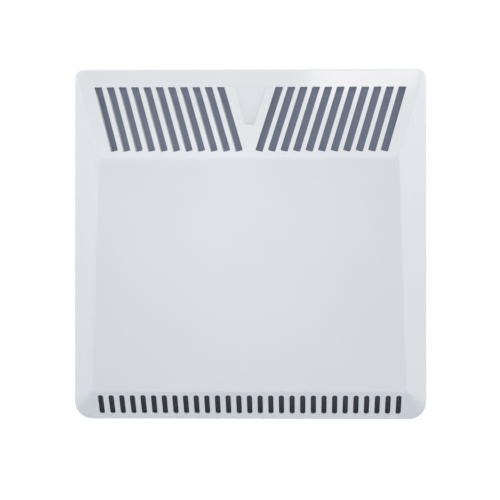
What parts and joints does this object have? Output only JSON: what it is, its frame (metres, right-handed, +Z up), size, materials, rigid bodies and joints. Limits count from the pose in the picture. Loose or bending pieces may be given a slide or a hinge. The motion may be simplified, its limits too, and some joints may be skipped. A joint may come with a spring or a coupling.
{
  "type": "electric convector heater",
  "caption": "Wall-hung electric convector heater: white hooded steel panel with slanted outlet slots above and a row of intake slots below, side controls, hung on a wall rail.",
  "frame": {"origin": "middle of the wall rail's four screw holes, on the wall plane", "axes": "+Y into the wall, so the front faces -Y; +Z up; +X to the viewer's right"},
  "size_m": [0.415, 0.1138, 0.413],
  "materials": {
    "white_powder_coat": "semi-gloss white powder coat with a fine orange peel",
    "galvanised_steel": "dull galvanised sheet",
    "bright_shield_steel": "rolled sheet, a little heat-tinted",
    "black_rubber": "matt moulded rubber",
    "raw_aluminium": "extruded, die lines along its length",
    "sheath_steel": "drawn steel",
    "white_ceramic": "unglazed fired ceramic",
    "cutout_phenolic": "moulded phenolic",
    "zinc_fastener": "bright zinc plate",
    "slate_paint": "matt slate paint",
    "graphite_powder_coat": "matt graphite powder coat",
    "grey_abs": "fine spark texture",
    "white_abs": "satin moulded plastic",
    "white_polyamide": "natural moulded polyamide",
    "black_polyamide": "satin moulded polyamide",
    "amber_lens": "clear moulded lens",
    "brass_stud": "turned brass",
    "blue_lead": "silicone jacket",
    "brown_lead": "silicone jacket",
    "glass_sleeve": "braided heat-proof sleeve",
    "earth_lead_jacket": "green and yellow jacket"
  },
  "bodies": {
    "wall_rail": {"wall_rail": "galvanised_steel"},
    "heater": {"front_panel": "white_powder_coat", "rear_casing": "graphite_powder_coat", "wall_buffers": "black_rubber", "element_fins": "raw_aluminium", "element_rod": "sheath_steel", "element_bush_left": "white_ceramic", "element_bush_right": "white_ceramic", "element_bracket": "galvanised_steel", "control_partition": "galvanised_steel", "overheat_cutout": "cutout_phenolic", "cutout_rivets": "zinc_fastener", "heat_shield": "bright_shield_steel", "outlet_baffle": "slate_paint", "outlet_deflector": "slate_paint", "intake_guard": "graphite_powder_coat", "control_fascia": "grey_abs", "control_box": "white_polyamide", "thermostat_body": "cutout_phenolic", "thermostat_nut": "zinc_fastener", "power_switch_body": "black_polyamide", "boost_switch_body": "black_polyamide", "lamp_lens": "amber_lens", "terminal_block": "white_polyamide", "terminal_screws": "zinc_fastener", "cable_gland": "black_polyamide", "gland_nut": "black_polyamide", "earth_stud": "brass_stud", "neutral_lead": "blue_lead", "live_lead": "glass_sleeve", "switch_lead": "brown_lead", "cutout_lead": "brown_lead", "earth_lead": "earth_lead_jacket", "lead_grommet": "black_rubber", "casing_screws": "zinc_fastener", "baffle_screws": "zinc_fastener", "chassis_screws": "zinc_fastener", "control_screws": "zinc_fastener"},
    "thermostat_knob": {"thermostat_knob": "white_abs", "thermostat_spindle": "sheath_steel"},
    "power_rocker": {"power_rocker": "white_abs"},
    "boost_rocker": {"boost_rocker": "white_abs"}
  },
  "joints": [
    {"name": "lift_off", "type": "slide", "parent": "wall_rail", "child": "heater", "axis": [0, 0, 1], "range_m": [0, 0.0125]},
    {"name": "thermostat_turn", "type": "hinge", "parent": "heater", "child": "thermostat_knob", "pos_m": [0.1859, -0.034, -0.1375], "axis": [-1, 0, 0], "range_deg": [0, 270]},
    {"name": "power_press", "type": "hinge", "parent": "heater", "child": "power_rocker", "pos_m": [0.1853, -0.034, -0.1995], "axis": [0, 1, 0], "range_deg": [0, 22]},
    {"name": "boost_press", "type": "hinge", "parent": "heater", "child": "boost_rocker", "pos_m": [0.1853, -0.034, -0.2255], "axis": [0, 1, 0], "range_deg": [0, 22]}
  ]
}
